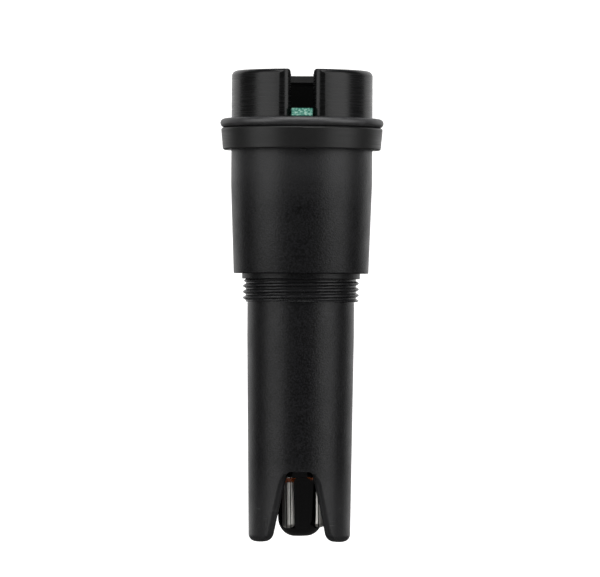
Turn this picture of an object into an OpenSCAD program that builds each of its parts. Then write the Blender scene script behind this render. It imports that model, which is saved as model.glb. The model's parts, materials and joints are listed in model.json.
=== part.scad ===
// Plug-in conductivity and temperature probe for a pocket-size water tester.
// The frame stands on the probe's axis, on the face that the plug seal sits on:
// +Z runs up into the plug, -Z down to the guard legs, and -Y is the key slot's side.

/* [Plug] */
// Outer diameter of the plug's crown
crown_d = 28.2; // [27:0.1:34]
// Height of the crown above the seal seat
crown_h = 11.4; // [10:0.1:16]
// Wall of the crown
crown_wall = 2.6; // [2.4:0.1:3.4]
// Fillet round the outside of the crown's rim
rim_round = 1.1; // [0.6:0.1:1.2]
// Height of the lead-in chamfer inside the rim
lead_in_h = 1.8; // [1:0.1:2.4]
// Flat left between the lead-in and the rim's fillet
rim_land = 0.3; // [0.2:0.1:0.5]
// Width of the key slot
key_w = 4.45; // [3.7:0.05:6]
// Height of the key slot's floor, and of the board's seat, above the seal seat
key_floor = 2.05; // [1.95:0.05:3]
// Fillet along the key slot's upright edges
key_edge_round = 1.75; // [0.5:0.05:1.9]
// Rounding of the key slot's two upper corners
key_mouth_round = 0.8; // [0.4:0.1:1]
// Depth of the shallow relief in the rim opposite the key slot
relief_depth = 0.45; // [0.2:0.05:0.8]
// Width of the low step that centres the plug seal, outside the crown
seal_step_w = 0.375; // [0.2:0.025:0.8]
// Height of that step
seal_step_h = 1.5; // [1.3:0.1:1.7]
// Width of the flange's ledge outside that step
flange_w = 1.675; // [1.4:0.025:2.5]
// How far the flange's side draws in towards its foot
flange_draft = 0.35; // [0:0.05:0.8]
// Height of the flange
flange_h = 4.4; // [3.5:0.1:6]
// Rounding of the flange's upper edge
flange_round = 0.4; // [0.2:0.1:0.6]
// Bevel of the flange's lower edge
flange_bevel = 0.25; // [0.1:0.05:0.5]
// Depth of the seat under the flange that takes the barrel's rim
rim_seat_h = 0.4; // [0.2:0.1:0.8]
// Length of the spigot inside the barrel
spigot_h = 5.5; // [4:0.1:8]
// Wall of the spigot
spigot_wall = 1.8; // [1.4:0.1:2]

/* [Seals] */
// Section of the plug seal
plug_seal_section = 1.8; // [1.5:0.1:2]
// Section of the core seal
core_seal_section = 0.9; // [0.7:0.05:0.9]

/* [Sleeve] */
// Diameter of the barrel at its top
barrel_d = 28.2; // [27:0.1:34]
// How far the barrel's side draws in towards its foot
barrel_draft = 0.625; // [0.2:0.025:0.8]
// Length of the barrel
barrel_h = 24.65; // [20:0.05:32]
// Length of the straight part at the barrel's top
barrel_straight = 7.0; // [4:0.1:12]
// Wall of the barrel at its top
barrel_wall = 2.1; // [1.8:0.1:2.6]
// Width of the shoulder ring's edge outside the thread
shoulder_w = 0.2; // [0.1:0.05:0.8]
// Height of the shoulder ring
shoulder_h = 1.1; // [0.8:0.1:1.6]
// Major diameter of the thread
thread_d = 23.2; // [22:0.1:28]
// Length of the thread
thread_h = 4.6; // [4:0.1:6]
// Step from the thread's crests in to the stem
stem_step = 0.925; // [0.7:0.025:1.2]
// How far the stem's side draws in towards the guard's tip
stem_draft = 0.525; // [0.2:0.025:0.8]
// Length of the stem, guard included
stem_h = 47.85; // [44:0.05:62]
// Length of the straight part at the stem's top
stem_straight = 6.6; // [3:0.1:12]
// Wall of the stem at its top
stem_wall = 2.675; // [2.2:0.025:3]
// Width of the ledge between the stem's bore and the guard's
guard_ledge = 0.8; // [0.6:0.1:1]
// Thickness of the floor between barrel and stem bores
barrel_floor = 1.9; // [1.6:0.1:3]

/* [Guard] */
// Height of the guard's slots
slot_h = 14.2; // [12:0.1:18]
// Width of a slot at its top
slot_top_w = 5.1; // [4.5:0.1:6]
// Width of a slot at the tip, before its flare
slot_mouth_w = 10.9; // [9:0.1:13.1]
// Rounding of a slot's upper corners
slot_corner_round = 0.7; // [0.4:0.1:1]
// Flare where a leg's side meets its tip
slot_flare = 2.4; // [1.5:0.1:2.6]
// Fillet along a slot's outer edges
slot_edge_round = 0.9; // [0.5:0.1:1]
// Rounding of a leg's outer tip edge
tip_round = 1.55; // [1:0.05:1.6]
// Rounding of a leg's inner tip edge
tip_inner_round = 0.5; // [0.3:0.1:0.7]

/* [Sensor core] */
// Distance from the top of the slots to the bulkhead's lower face
bulkhead_drop = 1.2; // [0.5:0.1:3]
// Length of the bulkhead in the guard's bore
bulkhead_h = 7.6; // [6:0.1:10]
// Height of the collar that rests on the bore's step
collar_h = 2.0; // [1.5:0.1:3]
// Step from the collar in to the core's tail
tail_step = 1.4; // [1:0.1:1.6]
// Height of the tail
tail_h = 4.0; // [3:0.1:6]
// Diameter of the rod at the bulkhead
rod_d = 9.5; // [9.2:0.1:10]
// How far the rod's side draws in towards its end
rod_draft = 0.3; // [0.1:0.05:0.5]
// Length of the rod below the bulkhead
rod_h = 11.9; // [10:0.1:14]
// Width of the rounding at the rod's end
rod_end_w = 3.25; // [2.5:0.05:3.6]
// Height of the rounding at the rod's end
rod_end_h = 3.6; // [2.5:0.1:4]
// Lean of the rod and its pins towards +X
core_lean = 1.2; // [0:0.1:1.4]
// Diameter of the electrode pins
pin_d = 2.4; // [2:0.1:2.9]
// How far the pins stand out of the rod's side
pin_proud = 0.85; // [0.6:0.05:1]
// Angle of the left pin, counted from the slot's side towards -X
pin_left_angle = 32.8; // [20:0.1:45]
// Angle of the right pin, counted from the slot's side towards +X
pin_right_angle = 59.7; // [45:0.1:70]
// Length of the pins below the bulkhead
pin_below = 10.2; // [8:0.1:11]
// Length of the pins above the tail
pin_above = 0.8; // [0.5:0.1:1.5]
// Width of the resin round a pin's root
resin_w = 0.65; // [0.3:0.05:0.8]
// Height of the resin at a pin's root
resin_h = 0.85; // [0.5:0.05:1.2]
// Bore for the thermistor
thermistor_bore_d = 3.2; // [3:0.1:3.6]
// Wall left under that bore
thermistor_floor = 1.9; // [1.5:0.1:2.5]
// Gap between the thermistor's bead and its bore
bead_gap = 0.5; // [0.4:0.05:0.7]
// Spacing of the thermistor's leads
lead_pitch = 1.2; // [1:0.1:1.4]
// Diameter of the thermistor's leads
lead_d = 0.4; // [0.3:0.1:0.5]

/* [Board and connector] */
// Thickness of the circuit board
board_t = 1.5; // [1.2:0.1:2]
// Distance of the tab's end from the crown's outer surface
tab_setback = 0.5; // [0.2:0.1:2]
// Pitch of the connector's contacts
contact_pitch = 2.54; // [2:0.01:2.6]
// Columns of contacts
contact_columns = 3; // [2:1:3]
// Height of the connector above the board
header_h = 4.85; // [4:0.05:6]
// Distance of the connector's middle behind the probe's axis
header_offset = 3.6; // [3.4:0.1:4.4]
// Diameter of a contact's tail
tail_pin_d = 0.6; // [0.5:0.05:0.7]
// Length of a contact's tail below the board
tail_pin_h = 1.2; // [0.8:0.1:1.6]
// Diameter of a solder fillet
solder_d = 1.6; // [1.4:0.1:1.7]
// Diameter of the electrode wires' insulation
wire_d = 1.4; // [1:0.1:1.6]
// Diameter of the wires' conductors
conductor_d = 0.6; // [0.4:0.05:0.7]
// Diameter of the thermistor wires' insulation
thin_wire_d = 1.0; // [0.8:0.1:1]
// Depth of the resin above the core's tail
potting_h = 10.0; // [4:0.5:16]

/* [Fits] */
// Radial gap round the spigot in the barrel, and round the barrel's rim in its seat
spigot_gap = 0.15; // [0.1:0.05:0.3]
// Gap between the board's key tab and each side of the key slot
tab_gap = 0.175; // [0.1:0.025:0.4]
// Radial gap between the core's bulkhead and the guard's bore
core_gap = 0.25; // [0.15:0.05:0.4]
// Radial gap between the core's collar and the stem's bore
collar_gap = 0.2; // [0.1:0.05:0.4]
// Radial gap between the board and the crown
board_gap = 0.3; // [0.2:0.05:0.5]
// Gap left between pieces that are bonded or sealed
bond_gap = 0.05; // [0.02:0.01:0.1]

/* [Hidden] */
$fn = 64;
eps = 0.01;

// Small allowances and shapes that are shared by several pieces
hole_clearance = 0.3;
groove_play = 0.3;
bulkhead_edge = 0.3;
pin_dome = 0.8;
resin_root = 0.5;
resin_lift = 0.15;
solder_h = 0.7;
solder_tip = 0.35;
solder_lift = 0.15;
strip_h = 0.8;
wire_lift = 1.2;
pocket_gap = 0.3;
fillet_bite = 0.02;

// Heights along the axis, from the seal seat downwards
z_flange_foot = -flange_h;
z_rim = z_flange_foot + rim_seat_h;
z_barrel_foot = z_flange_foot - barrel_h;
z_shoulder_foot = z_barrel_foot - shoulder_h;
z_thread_foot = z_shoulder_foot - thread_h;
z_tip = z_thread_foot - stem_h;
z_slot_top = z_tip + slot_h;
z_bulkhead = z_slot_top - bulkhead_drop;
z_bore_step = z_bulkhead + bulkhead_h;
z_collar_top = z_bore_step + collar_h;
z_tail_top = z_collar_top + tail_h;
z_rod_end = z_bulkhead - rod_h;
z_barrel_floor = z_barrel_foot + barrel_floor;
z_pin_top = z_tail_top + pin_above;
z_core_groove = z_bulkhead + bulkhead_h / 2;

// Heights in the plug
z_board = key_floor;
z_board_top = z_board + board_t;

// Sizes that follow from walls, drafts and fits
socket_d = crown_d - 2 * crown_wall;
seal_step_d = crown_d + 2 * seal_step_w;
flange_d = seal_step_d + 2 * flange_w;
flange_foot_d = flange_d - 2 * flange_draft;
barrel_foot_d = barrel_d - 2 * barrel_draft;
barrel_bore_d = barrel_d - 2 * barrel_wall;
shoulder_d = thread_d + 2 * shoulder_w;
stem_d = thread_d - 2 * stem_step;
stem_tip_d = stem_d - 2 * stem_draft;
stem_bore_d = stem_d - 2 * stem_wall;
guard_bore_d = stem_bore_d - 2 * guard_ledge;
bulkhead_d = guard_bore_d - 2 * core_gap;
collar_d = stem_bore_d - 2 * collar_gap;
tail_d = collar_d - 2 * tail_step;
rod_tip_d = rod_d - 2 * rod_draft;
pin_ring_r = (rod_d - pin_d) / 2 + pin_proud;
resin_d = pin_d + 2 * resin_w;
bead_d = thermistor_bore_d - 2 * bead_gap;
tab_w = key_w - 2 * tab_gap;
spigot_r = barrel_bore_d / 2 - spigot_gap;
spigot_bore_r = spigot_r - spigot_wall;
board_r = socket_d / 2 - board_gap;
tab_r = crown_d / 2 - tab_setback;
plug_seal_r = seal_step_d / 2 + bond_gap + plug_seal_section / 2;
core_seal_r = guard_bore_d / 2 - bond_gap - core_seal_section / 2;
core_groove_r = core_seal_r - core_seal_section / 2 - bond_gap;
lead_in_r = crown_d / 2 - rim_round - rim_land;

// Guard outline: half width of a slot and outer radius of the stem at height h above the tip
slot_taper = atan((slot_mouth_w - slot_top_w) / 2 / slot_h);
flare_x = slot_mouth_w / 2 + slot_flare * (1 - sin(slot_taper)) / cos(slot_taper);
flare_top = slot_flare * (1 - sin(slot_taper));
function slot_side(h) = slot_mouth_w / 2 - h * tan(slot_taper);
function slot_half(h) = h < flare_top
    ? flare_x - sqrt(pow(slot_flare, 2) - pow(slot_flare - h, 2)) : slot_side(h);
stem_slope = (stem_d - stem_tip_d) / 2 / (stem_h - stem_straight);
function stem_r(h) = stem_tip_d / 2 + stem_slope * h
    - (h < tip_round ? tip_round - sqrt(pow(tip_round, 2) - pow(tip_round - h, 2)) : 0);

// Places of the pins, at any height: they lean with the rod, about the bulkhead's lower face
pin_angles = [-pin_left_angle, pin_right_angle];
function pin_xy(side, z) = [pin_ring_r * sin(pin_angles[side]) - (z - z_bulkhead) * tan(core_lean),
                            -pin_ring_r * cos(pin_angles[side])];
z_pin_solder = z_pin_top + solder_lift;
z_wire_start = z_pin_top + wire_lift;
lead_x = [-lead_pitch / 2, lead_pitch / 2];
thin_wire_pitch = 1.7;
thin_wire_x = [-thin_wire_pitch / 2, thin_wire_pitch / 2];
thin_wire_lift = 1.0;
z_thin_wire = z_tail_top + thin_wire_lift;
z_lead_top = z_thin_wire - pocket_gap;
bead_lift = 0.2;
z_bead = z_rod_end + thermistor_floor + bead_lift + bead_d / 2;

contact_xy = [for (column = [0 : contact_columns - 1], row = [-0.5, 0.5])
    [(column - (contact_columns - 1) / 2) * contact_pitch, header_offset + row * contact_pitch]];
board_wire_xy = [pin_xy(0, z_pin_top), pin_xy(1, z_pin_top), [thin_wire_x[0], 0], [thin_wire_x[1], 0]];

well_w = 1.4;
header_floor = 0.8;
contact_lift = 0.1;
contact_base = [1.2, 1.0, 0.25];
leaf_t = 0.24;
leaf_short = 1.5;

chip_size = [3.9, 4.9, 1.4];
chip_standoff = 0.15;
chip_lead_pitch = 1.27;
chip_lead_w = 0.42;
chip_lead_t = 0.2;
chip_lead_bend = 0.55;
chip_lead_reach = 0.95;
part_margin = 0.55;
chip_at = [part_margin + chip_lead_reach + chip_size[0] / 2 - spigot_bore_r, -0.3];
capacitor_size = [2.0, 1.25, 1.1];
capacitor_angles = [-41, 3];
resistor_size = [2.0, 1.25, 0.5];
resistor_angles = [38, 107, 121];
part_ring_r = spigot_bore_r - capacitor_size[0] / 2 - 1.5 * part_margin;
function part_xy(angle) = [part_ring_r * sin(angle), -part_ring_r * cos(angle)];
chip_end_w = 0.4;
chip_end_proud = 0.03;

// Cylinder between two heights
module post(z_low, z_high, d, xy = [0, 0]) {
    translate([xy[0], xy[1], z_low]) cylinder(h = z_high - z_low, d = d);
}

// Everything inside leans with the rod, about the middle of the bulkhead's lower face
module lean() {
    translate([0, 0, z_bulkhead]) rotate([0, -core_lean, 0]) translate([0, 0, -z_bulkhead]) children();
}

// Moves a pin from the axis to its place on the rod
module at_pin(side) {
    lean() rotate([0, 0, pin_angles[side]]) translate([0, -pin_ring_r, 0]) children();
}

// What a rounding takes off an outer corner of a revolved profile: foot is 1 at a lower corner
module corner_cut(r_out, z_corner, r_round, foot = 0) {
    translate([r_out, z_corner]) mirror([0, foot]) translate([-r_round, -r_round]) difference() {
        square(r_round + 1);
        circle(r = r_round);
    }
}

// Outline of the sleeve from its axis outwards
module sleeve_profile() {
    difference() {
        polygon([[0, z_rim], [barrel_d / 2, z_rim], [barrel_d / 2, z_flange_foot - barrel_straight],
                 [barrel_foot_d / 2, z_barrel_foot],
                 [shoulder_d / 2, z_barrel_foot], [shoulder_d / 2, z_shoulder_foot],
                 [thread_d / 2, z_shoulder_foot], [thread_d / 2, z_thread_foot],
                 [stem_d / 2, z_thread_foot], [stem_d / 2, z_thread_foot - stem_straight],
                 [stem_r(tip_round), z_tip + tip_round], [stem_r(tip_round), z_tip], [0, z_tip]]);
        corner_cut(stem_r(tip_round), z_tip, tip_round, 1);
        translate([-eps, z_barrel_floor]) square([barrel_bore_d / 2 + eps, barrel_h + flange_h]);
        translate([-eps, z_bore_step]) square([stem_bore_d / 2 + eps, -z_bore_step]);
        translate([-eps, z_tip - 1]) square([guard_bore_d / 2 + eps, -z_tip]);
        translate([guard_bore_d / 2, z_tip]) difference() {
            translate([-eps, -eps]) square(tip_inner_round + eps);
            translate([tip_inner_round, tip_inner_round]) circle(r = tip_inner_round);
        }
    }
}

// Slot through both walls of the guard: tapered sides, rounded top corners and a flared mouth
module slot_outline() {
    steps = 12;
    corner_x = slot_side(slot_h) - slot_corner_round;
    right = concat(
        [[flare_x, -2], [flare_x, 0]],
        [for (i = [1 : steps]) let (a = i * (90 - slot_taper) / steps)
            [flare_x - slot_flare * sin(a), slot_flare * (1 - cos(a))]],
        [for (i = [0 : steps / 2]) let (a = 90 * i / (steps / 2))
            [corner_x + slot_corner_round * cos(a), slot_h - slot_corner_round * (1 - sin(a))]]);
    left = [for (i = [len(right) - 1 : -1 : 0]) [-right[i][0], right[i][1]]];
    polygon(concat(right, left));
}

// What a rolling fillet takes off one slot edge: a loft of sections up the edge, each the
// corner outside an arc that bites a little into the slot's side and the stem's outside
module slot_edge_cut() {
    heights = [-1, 0.1, 0.3, 0.6, 1.2, 1.8, 2.4, 5, 8, slot_h - 2.2, slot_h - 1.2, slot_h - 0.5];
    arc_steps = 4;
    reach = 1.2;
    run_out = 2.6;
    thin_edge = 0.42;
    function section(h) =
        let (w = slot_half(max(h, 0)) + fillet_bite, r = stem_r(max(h, 0)) - fillet_bite,
             f = min(slot_edge_round * min(1, 0.25 + (slot_h - h) / run_out), thin_edge * (r - w)),
             cx = w + f, cy = -sqrt(pow(r - f, 2) - pow(w + f, 2)),
             end = atan2(-cy, cx))
        concat(
            [[w - reach, -r - reach], [w - reach, cy]],
            [for (i = [0 : arc_steps]) let (a = 180 + i * (180 - end) / arc_steps)
                [cx + f * cos(a), cy + f * sin(a)]],
            [[cx + (f + reach) * cos(end), cy - (f + reach) * sin(end)]]);
    rings = [for (h = heights) [for (p = section(h)) [p[0], p[1], z_tip + h]]];
    n = len(rings[0]);
    points = [for (ring = rings, p = ring) p];
    bottom = [[for (i = [n - 1 : -1 : 0]) i]];
    top = [[for (i = [0 : n - 1]) (len(rings) - 1) * n + i]];
    walls = [for (k = [0 : len(rings) - 2], i = [0 : n - 1], half = [0, 1])
        let (a = k * n + i, b = k * n + (i + 1) % n)
        half == 0 ? [a, b, b + n] : [a, b + n, a + n]];
    polyhedron(points, concat(bottom, walls, top));
}

module probe_sleeve() {
    color("#3a3a3c") difference() {
        rotate_extrude() sleeve_profile();
        translate([0, stem_d, z_tip]) rotate([90, 0, 0]) linear_extrude(2 * stem_d) slot_outline();
        for (x = [0, 1], y = [0, 1]) mirror([x, 0, 0]) mirror([0, y, 0]) slot_edge_cut();
    }
}

// Outline of the plug housing from its bore outwards
module housing_profile() {
    rim_r = crown_d / 2;
    foot_z = z_flange_foot - spigot_h;
    difference() {
        polygon([[0, crown_h], [rim_r, crown_h], [rim_r, seal_step_h],
                 [seal_step_d / 2, seal_step_h], [seal_step_d / 2, 0],
                 [flange_d / 2, 0], [flange_d / 2, -flange_round],
                 [flange_foot_d / 2, z_flange_foot + flange_bevel],
                 [flange_foot_d / 2 - flange_bevel, z_flange_foot],
                 [barrel_d / 2 + spigot_gap, z_flange_foot], [barrel_d / 2 + spigot_gap, z_rim],
                 [spigot_r, z_rim], [spigot_r, foot_z], [0, foot_z]]);
        corner_cut(rim_r, crown_h, rim_round);
        corner_cut(flange_d / 2, 0, flange_round);
        translate([-eps, foot_z - 1]) square([spigot_bore_r + eps, crown_h - foot_z + 2]);
        translate([-eps, z_board]) square([socket_d / 2 + eps, crown_h]);
        polygon([[0, crown_h - lead_in_h], [socket_d / 2, crown_h - lead_in_h],
                 [lead_in_r, crown_h], [lead_in_r, crown_h + 1], [0, crown_h + 1]]);
    }
}

// Key slot seen from the front, with its upper corners rounded outwards
module key_outline() {
    r = key_mouth_round;
    translate([-key_w / 2, key_floor]) square([key_w, crown_h]);
    for (side = [0, 1]) mirror([side, 0]) difference() {
        translate([key_w / 2 - eps, crown_h - r]) square([r + eps, r + 1]);
        translate([key_w / 2 + r, crown_h - r]) circle(r = r);
    }
}

// What the fillets take off the key slot's upright edges, seen from above: the corner outside
// an arc that bites a little into the slot's side and the crown's wall
module key_edge_outline() {
    f = key_edge_round;
    r_out = crown_d / 2 - fillet_bite;
    reach = 0.4;
    x_in = key_w / 2 - reach;
    y_out = -crown_d / 2 - reach;
    cx = key_w / 2 + fillet_bite + f;
    cy = sqrt(pow(r_out - f, 2) - pow(cx, 2));
    touch = r_out / (r_out - f);
    for (side = [0, 1]) mirror([side, 0]) difference() {
        polygon([[x_in, -cy], [cx, -cy], [cx * touch, -cy * touch], [cx * touch, y_out], [x_in, y_out]]);
        translate([cx, -cy]) circle(r = f);
    }
}

module plug_housing() {
    color("#2a2a2c") difference() {
        rotate_extrude() housing_profile();
        rotate([90, 0, 0]) linear_extrude(crown_d) key_outline();
        translate([0, 0, key_floor]) linear_extrude(crown_h) key_edge_outline();
        translate([-key_w / 2, 0, crown_h - relief_depth]) cube([key_w, crown_d, 1]);
    }
}

module plug_seal() {
    color("#3c3c3e") translate([0, 0, plug_seal_section / 2 + bond_gap])
        rotate_extrude() translate([plug_seal_r, 0]) circle(d = plug_seal_section);
}

module circuit_board() {
    color("#4f9a84") difference() {
        translate([0, 0, z_board]) linear_extrude(board_t) {
            circle(r = board_r);
            translate([-tab_w / 2, -tab_r]) square([tab_w, tab_r]);
        }
        for (xy = contact_xy) post(z_board - 1, z_board_top + 1, tail_pin_d + hole_clearance, xy);
        for (xy = board_wire_xy) post(z_board - 1, z_board_top + 1, conductor_d + hole_clearance, xy);
    }
}

module socket_header() {
    width = contact_columns * contact_pitch;
    color("#1b1b1d") difference() {
        translate([-width / 2, header_offset - contact_pitch, z_board_top])
            cube([width, 2 * contact_pitch, header_h]);
        for (xy = contact_xy) {
            translate([xy[0] - well_w / 2, xy[1] - well_w / 2, z_board_top + header_floor])
                cube([well_w, well_w, header_h]);
            post(z_board_top - 1, z_board_top + 1, tail_pin_d + hole_clearance, xy);
        }
    }
}

// One contact: a base plate with two spring leaves above it and a tail through the board
module contact() {
    base_z = z_board_top + header_floor + contact_lift;
    post(z_board - tail_pin_h, base_z + eps, tail_pin_d);
    translate([-contact_base[0] / 2, -contact_base[1] / 2, base_z]) {
        cube(contact_base);
        for (x = [0, contact_base[0] - leaf_t]) translate([x, 0, 0])
            cube([leaf_t, contact_base[1], header_h - leaf_short]);
    }
}

module socket_contacts() {
    color("gold") for (xy = contact_xy) translate([xy[0], xy[1], 0]) contact();
}

module memory_chip() {
    color("#202022") translate([chip_at[0], chip_at[1], z_board - chip_standoff - chip_size[2] / 2])
        cube(chip_size, center = true);
}

// One gull-wing leg, from the chip's side out and up to the board
module chip_lead() {
    t = chip_lead_t;
    depth = chip_standoff + chip_size[2] / 2;
    down = chip_lead_bend - t;
    translate([chip_size[0] / 2, -chip_lead_w / 2, -depth]) {
        cube([chip_lead_bend, chip_lead_w, t]);
        translate([down, 0, 0]) cube([t, chip_lead_w, depth]);
        translate([down, 0, depth - t]) cube([chip_lead_reach - down, chip_lead_w, t]);
    }
}

module memory_chip_leads() {
    color("silver") translate([chip_at[0], chip_at[1], z_board])
        for (side = [0, 1], i = [-1.5 : 1.5])
            mirror([side, 0, 0]) translate([0, i * chip_lead_pitch, 0]) chip_lead();
}

// Chip part under the board, with its two metal ends a little proud
module chip_part(size) {
    translate([0, 0, -size[2] / 2]) {
        cube(size - [chip_end_w, 2 * chip_end_proud, 2 * chip_end_proud], center = true);
        for (side = [-1, 1]) translate([side * (size[0] - chip_end_w) / 2, 0, 0])
            cube([chip_end_w, size[1], size[2]], center = true);
    }
}

module chip_capacitors() {
    color("tan") for (a = capacitor_angles)
        translate([part_xy(a)[0], part_xy(a)[1], z_board]) chip_part(capacitor_size);
}

module chip_resistors() {
    color("#2c2c30") for (a = resistor_angles)
        translate([part_xy(a)[0], part_xy(a)[1], z_board]) chip_part(resistor_size);
}

// Solder fillet round a wire or tail: a cone with its own bore, hanging where down is 1
module solder_cone(xy, z_base, d_wire, down = 0) {
    translate([xy[0], xy[1], z_base]) mirror([0, 0, down]) difference() {
        cylinder(h = solder_h, d1 = solder_d, d2 = d_wire + solder_tip);
        translate([0, 0, -1]) cylinder(h = solder_h + 2, d = d_wire + 2 * bond_gap);
    }
}

module contact_solder() {
    color("silver") for (xy = contact_xy) solder_cone(xy, z_board, tail_pin_d, 1);
}

module wire_solder() {
    color("silver") for (xy = board_wire_xy) solder_cone(xy, z_board, conductor_d, 1);
}

// Outline of the core's fixed part: bulkhead with its seal groove, collar and tail
module core_profile() {
    r = bulkhead_d / 2;
    groove_h = core_seal_section + groove_play;
    difference() {
        polygon([[0, z_bulkhead], [r, z_bulkhead], [r, z_bore_step],
                 [collar_d / 2, z_bore_step], [collar_d / 2, z_collar_top],
                 [tail_d / 2, z_collar_top], [tail_d / 2, z_tail_top], [0, z_tail_top]]);
        corner_cut(r, z_bulkhead, bulkhead_edge, 1);
        translate([core_groove_r, z_core_groove - groove_h / 2]) square([r, groove_h]);
    }
}

// Outline of the rod: a slow taper and an elliptic end
module rod_profile() {
    steps = 12;
    flat_r = rod_tip_d / 2 - rod_end_w;
    polygon(concat(
        [[0, z_bulkhead + 1], [rod_d / 2, z_bulkhead + 1], [rod_d / 2, z_bulkhead]],
        [for (i = [0 : steps]) let (a = 90 * i / steps)
            [flat_r + rod_end_w * cos(a), z_rod_end + rod_end_h * (1 - sin(a))]],
        [[0, z_rod_end]]));
}

module sensor_core() {
    color("#141416") difference() {
        union() {
            rotate_extrude() core_profile();
            lean() rotate_extrude() rod_profile();
        }
        for (side = [0, 1]) at_pin(side)
            post(z_bulkhead - pin_below - bond_gap, z_tail_top + 1, pin_d + 2 * bond_gap);
        post(z_rod_end + thermistor_floor, z_tail_top + 1, thermistor_bore_d);
    }
}

module core_seal() {
    color("#2c2c2e") translate([0, 0, z_core_groove])
        rotate_extrude() translate([core_seal_r, 0]) circle(d = core_seal_section);
}

// Pin with a domed lower end and a flat top
module electrode_pin(side) {
    z_low = z_bulkhead - pin_below;
    r = pin_d / 2;
    steps = 8;
    at_pin(side) rotate_extrude() polygon(concat(
        [[0, z_pin_top], [r, z_pin_top]],
        [for (i = [0 : steps]) let (a = 90 * i / steps) [r * cos(a), z_low + pin_dome * (1 - sin(a))]]));
}

module electrode_pin_left() {
    color("gainsboro") electrode_pin(0);
}

module electrode_pin_right() {
    color("gainsboro") electrode_pin(1);
}

// Resin fillet under the bulkhead, drawn up round the pin and clear of pin and rod
module pin_resin(side) {
    z_top = z_bulkhead - resin_lift;
    difference() {
        at_pin(side) translate([0, 0, z_top - resin_h])
            cylinder(h = resin_h, d1 = pin_d + resin_root, d2 = resin_d);
        at_pin(side) post(z_top - 2 * resin_h, z_top + resin_h, pin_d + 2 * bond_gap);
        lean() post(z_top - 2 * resin_h, z_top + resin_h, rod_d + 2 * bond_gap);
    }
}

module pin_resin_left() {
    color("#8a4a20") pin_resin(0);
}

module pin_resin_right() {
    color("#8a4a20") pin_resin(1);
}

// Insulated wire with its bare ends: from the bead on a pin up into the board
module electrode_wire(side) {
    xy = pin_xy(side, z_pin_top);
    post(z_pin_solder, z_board_top, conductor_d, xy);
    post(z_wire_start, z_board - strip_h, wire_d, xy);
}

module electrode_wire_left() {
    color("firebrick") electrode_wire(0);
}

module electrode_wire_right() {
    color("white") electrode_wire(1);
}

module pin_solder() {
    color("silver") for (side = [0, 1]) solder_cone(pin_xy(side, z_pin_top), z_pin_solder, conductor_d);
}

module thermistor() {
    color("#1e3a2a") translate([0, 0, z_bead]) sphere(d = bead_d);
}

module thermistor_leads() {
    inner_x = (lead_pitch - lead_d) / 2;
    z_low = z_bead + sqrt(pow(bead_d / 2, 2) - pow(inner_x, 2)) + bond_gap;
    color("silver") for (x = lead_x) post(z_low, z_lead_top, lead_d, [x, 0]);
}

module thermistor_wires() {
    color("goldenrod") for (x = thin_wire_x) {
        post(z_thin_wire, z_board - strip_h, thin_wire_d, [x, 0]);
        post(z_thin_wire, z_board_top, conductor_d, [x, 0]);
    }
}

module core_filling() {
    color("#d8d4c8") difference() {
        post(z_rod_end + thermistor_floor + bond_gap, z_tail_top, thermistor_bore_d - 2 * bond_gap);
        translate([0, 0, z_bead]) sphere(d = bead_d + 2 * bond_gap);
        for (x = lead_x) post(z_bead, z_tail_top + 1, lead_d + 2 * bond_gap, [x, 0]);
    }
}

// Resin above the collar, shaped round the tail, the pins, their solder and the wires
module potting_plug() {
    z_top = z_tail_top + potting_h;
    pocket_w = thin_wire_pitch + thin_wire_d + 2 * pocket_gap;
    pocket_d = lead_d + 2 * pocket_gap;
    color("#5a4630") difference() {
        post(z_collar_top + bond_gap, z_top, stem_bore_d - 2 * bond_gap);
        post(z_collar_top - 1, z_tail_top + bond_gap, tail_d + 2 * bond_gap);
        for (side = [0, 1]) {
            xy = pin_xy(side, z_pin_top);
            post(z_tail_top - 1, z_wire_start, pin_d + 2 * pocket_gap, xy);
            post(z_tail_top, z_top + 1, wire_d + 2 * bond_gap, xy);
        }
        translate([-pocket_w / 2, -pocket_d / 2, z_tail_top - 1])
            cube([pocket_w, pocket_d, z_thin_wire - z_tail_top + 1]);
        for (x = thin_wire_x) post(z_tail_top, z_top + 1, thin_wire_d + 2 * bond_gap, [x, 0]);
    }
}

probe_sleeve();
plug_housing();
plug_seal();
circuit_board();
socket_header();
socket_contacts();
memory_chip();
memory_chip_leads();
chip_capacitors();
chip_resistors();
contact_solder();
wire_solder();
sensor_core();
core_seal();
electrode_pin_left();
electrode_pin_right();
pin_resin_left();
pin_resin_right();
electrode_wire_left();
electrode_wire_right();
pin_solder();
thermistor();
thermistor_leads();
thermistor_wires();
core_filling();
potting_plug();
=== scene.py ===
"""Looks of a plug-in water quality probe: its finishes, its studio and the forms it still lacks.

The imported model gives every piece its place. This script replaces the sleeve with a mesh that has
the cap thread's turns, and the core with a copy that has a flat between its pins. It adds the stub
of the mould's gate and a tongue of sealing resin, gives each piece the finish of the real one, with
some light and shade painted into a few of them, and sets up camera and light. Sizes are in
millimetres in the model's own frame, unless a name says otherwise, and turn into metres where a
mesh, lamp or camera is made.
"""

from __future__ import annotations

import json
import logging
import math
from dataclasses import dataclass
from enum import Enum
from typing import ClassVar, Iterable, Sequence

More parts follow.
